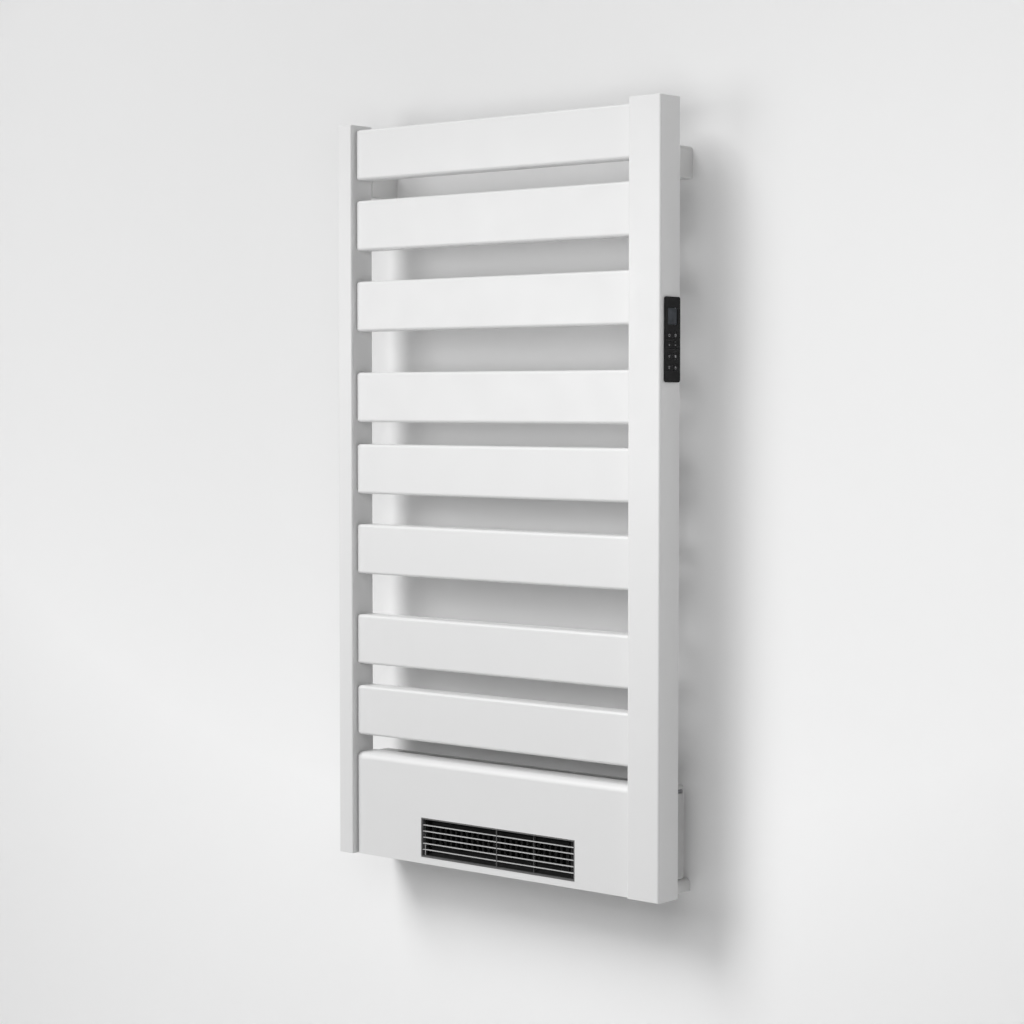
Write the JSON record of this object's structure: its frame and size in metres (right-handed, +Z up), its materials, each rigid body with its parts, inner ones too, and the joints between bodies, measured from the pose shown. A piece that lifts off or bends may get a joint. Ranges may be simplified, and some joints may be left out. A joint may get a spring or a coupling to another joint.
{
  "type": "towel warmer rack",
  "caption": "White wall-mounted electric towel warmer: flat slats between two square uprights, a fan heater with an outlet grille below, and a keypad on the right side.",
  "frame": {"origin": "on the wall plane, at the middle of the width, level with the uprights' lower ends", "axes": "+Z up, +Y from the room into the wall so the front faces -Y, +X to the right as seen from the front"},
  "size_m": [0.5547, 0.092, 1],
  "materials": {
    "white_enamel": "satin white powder coat on steel",
    "white_plastic": "fine-grained white moulding",
    "grey_plastic": "satin grey moulding",
    "black_gloss": "polished black moulding",
    "display_glass": "clear window over a dark blue-grey display",
    "black_plastic": "heat-resistant black moulding",
    "steel": "zinc-plated steel",
    "aluminium": "plain extruded aluminium",
    "circuit_board": "green solder mask"
  },
  "bodies": {
    "frame": {"left_upright": "white_enamel", "right_upright": "white_enamel", "left_top_cap": "white_enamel", "left_bottom_cap": "white_enamel", "right_top_cap": "white_enamel", "right_bottom_cap": "white_enamel", "slat_1": "white_enamel", "slat_2": "white_enamel", "slat_3": "white_enamel", "slat_4": "white_enamel", "slat_5": "white_enamel", "slat_6": "white_enamel", "slat_7": "white_enamel", "slat_8": "white_enamel", "front_cover": "white_enamel", "rear_casing": "white_plastic", "terminal_block": "white_plastic", "upper_left_spacer": "white_plastic", "upper_right_spacer": "white_plastic", "lower_left_spacer": "white_plastic", "lower_right_spacer": "white_plastic", "outlet_grille": "grey_plastic", "control_bezel": "black_gloss", "display_window": "display_glass", "fan_scroll": "black_plastic", "heater_frame": "black_plastic", "cable_gland": "black_plastic", "fan_bearing": "steel", "motor_can": "steel", "thermal_cutout": "steel", "upper_left_wall_plate": "steel", "upper_right_wall_plate": "steel", "upper_left_screw": "steel", "upper_right_screw": "steel", "lower_left_screw": "steel", "lower_right_screw": "steel", "heater_core": "aluminium", "slat_element_1": "aluminium", "slat_element_2": "aluminium", "slat_element_3": "aluminium", "slat_element_4": "aluminium", "slat_element_5": "aluminium", "slat_element_6": "aluminium", "slat_element_7": "aluminium", "slat_element_8": "aluminium", "power_board": "circuit_board", "control_board": "circuit_board"},
    "fan_rotor": {"fan_impeller": "black_plastic", "fan_shaft": "steel", "motor_rotor": "steel"},
    "filter": {"filter_tray": "grey_plastic"},
    "key_1": {"key_1": "black_gloss"},
    "key_2": {"key_2": "black_gloss"},
    "key_3": {"key_3": "black_gloss"},
    "key_4": {"key_4": "black_gloss"},
    "key_5": {"key_5": "black_gloss"},
    "key_6": {"key_6": "black_gloss"},
    "key_7": {"key_7": "black_gloss"},
    "key_8": {"key_8": "black_gloss"}
  },
  "joints": [
    {"name": "fan_spin", "type": "hinge", "parent": "frame", "child": "fan_rotor", "pos_m": [0, -0.04, 0.088], "axis": [1, 0, 0], "continuous": true},
    {"name": "filter_slide", "type": "slide", "parent": "frame", "child": "filter", "axis": [1, 0, 0], "range_m": [0, 0.4]},
    {"name": "key_1_press", "type": "slide", "parent": "frame", "child": "key_1", "axis": [-1, 0, 0], "range_m": [0, 0.0004], "stiffness_N_per_m": 800},
    {"name": "key_2_press", "type": "slide", "parent": "frame", "child": "key_2", "axis": [-1, 0, 0], "range_m": [0, 0.0004], "stiffness_N_per_m": 800},
    {"name": "key_3_press", "type": "slide", "parent": "frame", "child": "key_3", "axis": [-1, 0, 0], "range_m": [0, 0.0004], "stiffness_N_per_m": 800},
    {"name": "key_4_press", "type": "slide", "parent": "frame", "child": "key_4", "axis": [-1, 0, 0], "range_m": [0, 0.0004], "stiffness_N_per_m": 800},
    {"name": "key_5_press", "type": "slide", "parent": "frame", "child": "key_5", "axis": [-1, 0, 0], "range_m": [0, 0.0004], "stiffness_N_per_m": 800},
    {"name": "key_6_press", "type": "slide", "parent": "frame", "child": "key_6", "axis": [-1, 0, 0], "range_m": [0, 0.0004], "stiffness_N_per_m": 800},
    {"name": "key_7_press", "type": "slide", "parent": "frame", "child": "key_7", "axis": [-1, 0, 0], "range_m": [0, 0.0004], "stiffness_N_per_m": 800},
    {"name": "key_8_press", "type": "slide", "parent": "frame", "child": "key_8", "axis": [-1, 0, 0], "range_m": [0, 0.0004], "stiffness_N_per_m": 800}
  ]
}
